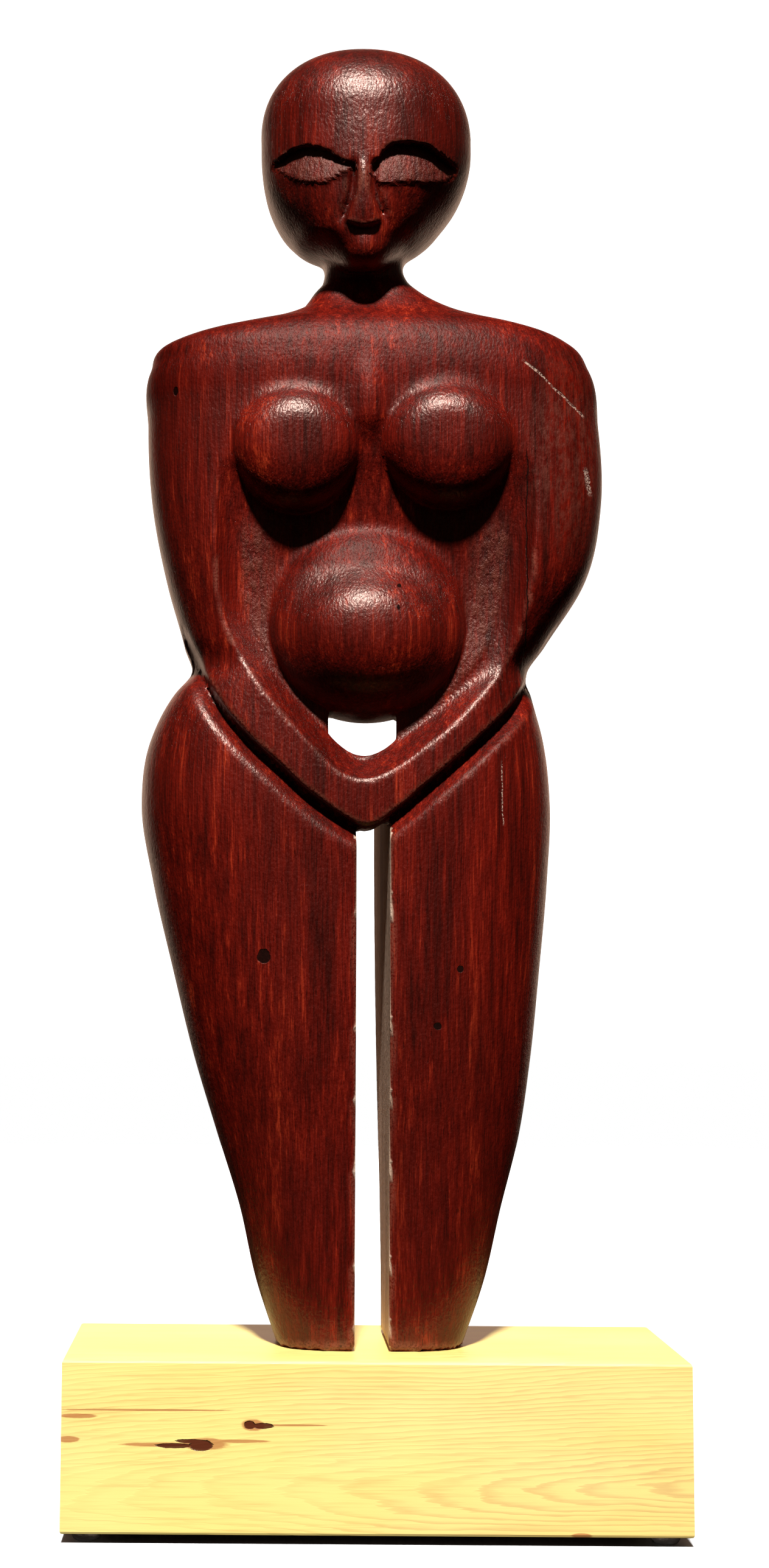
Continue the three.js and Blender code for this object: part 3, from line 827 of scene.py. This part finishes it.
class DollCarvingSettings(bpy.types.PropertyGroup):
    fine: FloatProperty(
        name="Fine step", description="Spacing of the surface over torso and head",
        default=2.45 * MM, unit="LENGTH", precision=5,
    )
    face_step: FloatProperty(
        name="Face step", description="Upright spacing of the surface over the head",
        default=1.7 * MM, unit="LENGTH", precision=5,
    )
    leg_step: FloatProperty(
        name="Leg step", description="Upright spacing of the surface down the legs",
        default=5.6 * MM, unit="LENGTH", precision=5,
    )


class DollColourSettings(bpy.types.PropertyGroup):
    hardwood: colour_prop("Hardwood", "The carving's main colour", (0.076, 0.0024, 0.0008))
    hardwood_dark: colour_prop("Dark grain", "Darkest grain", (0.026, 0.0012, 0.0005))
    hardwood_red: colour_prop("Red grain", "Redder grain", (0.138, 0.0050, 0.0016))
    hardwood_streak: colour_prop("Streaks", "Bright orange-red streaks", (0.42, 0.0360, 0.0090))
    tool_cut: colour_prop("Tool cuts", "Rough cuts in the recesses", (0.105, 0.018, 0.009))
    # Paler ridges: wear together with a painted highlight on the edges.
    worn_edge_and_highlight: colour_prop("Worn and lit ridges", "Paler ridges, from wear and a painted highlight", (0.26, 0.075, 0.045))
    pine: colour_prop("Pine", "The timber's early wood", (0.88, 0.69, 0.21))
    pine_light: colour_prop("Pale pine", "Paler clouds in the timber", (0.94, 0.85, 0.40))
    pine_ring: colour_prop("Pine rings", "The timber's late wood", (0.58, 0.30, 0.08))
    resin: colour_prop("Resin", "Red-brown resin stains", (0.40, 0.10, 0.025))
    knot: colour_prop("Knot", "Dark cores of the knots", (0.075, 0.010, 0.005))
    floor: colour_prop("Floor", "The floor's colour", (0.88, 0.88, 0.87))


class DollStageSettings(bpy.types.PropertyGroup):
    key_power: FloatProperty(
        name="Key light", description="Strength of the main light", default=7.6, subtype="UNSIGNED",
    )
    key_height: FloatProperty(
        name="Key height", description="Angle of the main light above the floor",
        default=math.radians(55), subtype="ANGLE",
    )
    key_turn: FloatProperty(
        name="Key turn", description="Angle of the main light round the doll",
        default=math.radians(-4), subtype="ANGLE",
    )
    key_spread: FloatProperty(
        name="Key spread", description="Apparent width of the main light",
        default=math.radians(5), subtype="ANGLE",
    )
    fill: FloatProperty(
        name="Fill", description="Light from the surroundings in front", default=0.05, subtype="UNSIGNED",
    )
    back: FloatProperty(
        name="Back light", description="Light from the surroundings behind", default=1.5,
        subtype="UNSIGNED",
    )
    back_tint: colour_prop("Back tint", "Colour of the light from the surroundings", (1.0, 0.68, 0.50))
    lens: FloatProperty(name="Lens", description="Focal length", default=50.0, unit="CAMERA")


# ---------------------------------------------------------------------------------------------
# Operators
# ---------------------------------------------------------------------------------------------


class DOLL_OT_carve_figure(bpy.types.Operator):
    """Carve the whole figure as one fine surface that stands for the plain carving"""

    bl_idname = "doll.carve_figure"
    bl_label = "Carve the figure"

    def execute(self, context):
        sizes = context.scene.doll_carving
        fine, face_step, leg_step = sizes.fine / MM, sizes.face_step / MM, sizes.leg_step / MM
        xs = np.arange(-136, 139, fine)
        ys = np.arange(-67, BACK + 4, fine)
        legs = np.linspace(-2, 260, round(262 / leg_step), endpoint=False)
        torso = np.linspace(260, 588, round(328 / fine), endpoint=False)
        head = np.linspace(588, HEIGHT + 3, round((HEIGHT - 585) / face_step))
        hs = np.concatenate([legs, torso, head])
        values = carving(*(a.astype(np.float32) for a in np.ix_(xs, ys, hs)))
        points, quads = contour(values, (xs, ys, hs))
        points = settle(points)
        stands, normal = bulge(points, quads)
        if not len(quads):
            raise RuntimeError("the carving has no surface")
        metres = points * MM + np.array(ORIGIN)
        wood = hardwood(context.scene.doll_colours)
        piece = new_piece("carved_figure", metres, quads, wood)
        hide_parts("figure_carving")
        for name, values in finish_areas(points, stands, normal).items():
            paint(piece, name, values)
        return {"FINISHED"}


class DOLL_OT_finish_base(bpy.types.Operator):
    """Give the timber its pine finish"""

    bl_idname = "doll.finish_base"
    bl_label = "Finish the base"

    def execute(self, context):
        finish_nodes(("base_block",), pine(context.scene.doll_colours))
        return {"FINISHED"}


class DOLL_OT_finish_bumpers(bpy.types.Operator):
    """Give the four bumpers their clear finish"""

    bl_idname = "doll.finish_bumpers"
    bl_label = "Finish the bumpers"

    def execute(self, context):
        names = [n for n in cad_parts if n.startswith("foot_")]
        finish_nodes(names, clear_rubber())
        return {"FINISHED"}


class DOLL_OT_finish_fixings(bpy.types.Operator):
    """Give the leg screws and washers their plated finish"""

    bl_idname = "doll.finish_fixings"
    bl_label = "Finish the fixings"

    def execute(self, context):
        names = [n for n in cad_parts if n.startswith("leg_")]
        finish_nodes(names, plated_steel())
        return {"FINISHED"}


def finish_nodes(names, material):
    """Assigns one material to every slot of some carried-over parts."""
    if not names:
        raise RuntimeError("no part to finish with " + material.name)
    for name in names:
        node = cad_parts[name]
        node.data.materials.clear()
        node.data.materials.append(material)


def sun_light(name, settings):
    """One soft, even light from high in front and a little to one side."""
    lamp = bpy.data.lights.new(name, "SUN")
    lamp.energy = settings.key_power
    lamp.angle = settings.key_spread
    made = bpy.data.objects.new(name, lamp)
    made.rotation_euler = (math.pi / 2 - settings.key_height, 0, settings.key_turn)
    made.location = ORIGIN + Vector((0, -1, 1.5))
    bpy.context.scene.collection.objects.link(made)


# The camera: its place from the floor under the timber's middle, and its tilt.
CAMERA_PLACE = (-0.0690, -1.2279, 0.2825)
CAMERA_PITCH, CAMERA_ROLL = math.radians(5.63), math.radians(0.39)
LENS_SHIFT = 0.0862
FLOOR_HALF = 3.0


class DOLL_OT_set_stage(bpy.types.Operator):
    """Lay the pale floor and set the lights and the camera"""

    bl_idname = "doll.set_stage"
    bl_label = "Set the stage"

    def execute(self, context):
        scene, settings = context.scene, context.scene.doll_stage
        half = FLOOR_HALF
        corners = np.array([[-half, -half, 0], [half, -half, 0], [half, half, 0], [-half, half, 0]])
        mesh = bpy.data.meshes.new("floor")
        mesh.from_pydata(corners.tolist(), [], [[0, 1, 2, 3]])
        floor = bpy.data.objects.new("floor", mesh)
        mesh.materials.append(pale_floor(scene.doll_colours))
        scene.collection.objects.link(floor)
        floor.visible_diffuse = floor.visible_glossy = False

        world = bpy.data.worlds.new("studio")
        world.use_nodes = True
        tree = world.node_tree
        background = tree.nodes["Background"]
        seen = tree.nodes.new("ShaderNodeLightPath").outputs["Is Camera Ray"]
        tint = tree.nodes.new("ShaderNodeMix")
        tint.data_type = "RGBA"
        tint.inputs[6].default_value = (*settings.back_tint, 1)
        tint.inputs[7].default_value = (1, 1, 1, 1)
        tree.links.new(seen, tint.inputs[0])
        tree.links.new(tint.outputs[2], background.inputs["Color"])
        around = tree.nodes.new("ShaderNodeTexCoord").outputs["Generated"]
        split = tree.nodes.new("ShaderNodeSeparateXYZ")
        tree.links.new(around, split.inputs[0])
        level = tree.nodes.new("ShaderNodeMapRange")
        level.interpolation_type = "SMOOTHSTEP"
        level.inputs["From Min"].default_value = 0.72
        level.inputs["From Max"].default_value = 0.9
        level.inputs["To Min"].default_value = settings.fill
        level.inputs["To Max"].default_value = settings.back
        tree.links.new(split.outputs["Y"], level.inputs["Value"])
        above = tree.nodes.new("ShaderNodeMapRange")
        above.inputs["From Min"].default_value = -0.12
        above.inputs["From Max"].default_value = 0.02
        tree.links.new(split.outputs["Z"], above.inputs["Value"])
        light = tree.nodes.new("ShaderNodeMath")
        light.operation = "MULTIPLY"
        tree.links.new(level.outputs["Result"], light.inputs[0])
        tree.links.new(above.outputs["Result"], light.inputs[1])
        whole = tree.nodes.new("ShaderNodeMath")
        whole.operation = "MAXIMUM"
        tree.links.new(seen, whole.inputs[0])
        tree.links.new(light.outputs[0], whole.inputs[1])
        tree.links.new(whole.outputs[0], background.inputs["Strength"])
        scene.world = world
        sun_light("key", settings)

        lens = bpy.data.cameras.new("camera")
        lens.lens = settings.lens
        lens.sensor_width = 36.0
        lens.shift_x = LENS_SHIFT
        camera = bpy.data.objects.new("camera", lens)
        turn = Matrix.Rotation(math.pi / 2 + CAMERA_PITCH, 4, "X") @ Matrix.Rotation(CAMERA_ROLL, 4, "Z")
        eye = Vector((ORIGIN.x, ORIGIN.y, 0)) + Vector(CAMERA_PLACE)
        camera.matrix_world = Matrix.Translation(eye) @ turn
        scene.collection.objects.link(camera)
        scene.camera = camera
        scene.view_settings.view_transform = "Standard"
        return {"FINISHED"}


class DOLL_PT_panel(bpy.types.Panel):
    """Lists the doll's settings and the steps that make it"""

    bl_idname = "DOLL_PT_panel"
    bl_label = "Carved doll"
    bl_space_type = "VIEW_3D"
    bl_region_type = "UI"
    bl_category = "Doll"

    def draw(self, context):
        for group in (context.scene.doll_carving, context.scene.doll_colours, context.scene.doll_stage):
            for name in group.bl_rna.properties.keys():
                if name not in ("rna_type", "name"):
                    self.layout.prop(group, name)
        for step in STEPS:
            self.layout.operator(step.bl_idname)


SETTINGS = {
    "doll_carving": DollCarvingSettings,
    "doll_colours": DollColourSettings,
    "doll_stage": DollStageSettings,
}
STEPS = (
    DOLL_OT_set_stage,
    DOLL_OT_carve_figure,
    DOLL_OT_finish_base,
    DOLL_OT_finish_bumpers,
    DOLL_OT_finish_fixings,
)


def register():
    for cls in (*SETTINGS.values(), *STEPS, DOLL_PT_panel):
        bpy.utils.register_class(cls)
    for name, group in SETTINGS.items():
        setattr(bpy.types.Scene, name, PointerProperty(type=group))


def unregister():
    for name in SETTINGS:
        delattr(bpy.types.Scene, name)
    for cls in reversed((*SETTINGS.values(), *STEPS, DOLL_PT_panel)):
        bpy.utils.unregister_class(cls)


def main():
    register()
    for step in STEPS:
        group, name = step.bl_idname.split(".")
        getattr(getattr(bpy.ops, group), name)()


if __name__ == "__main__":
    main()
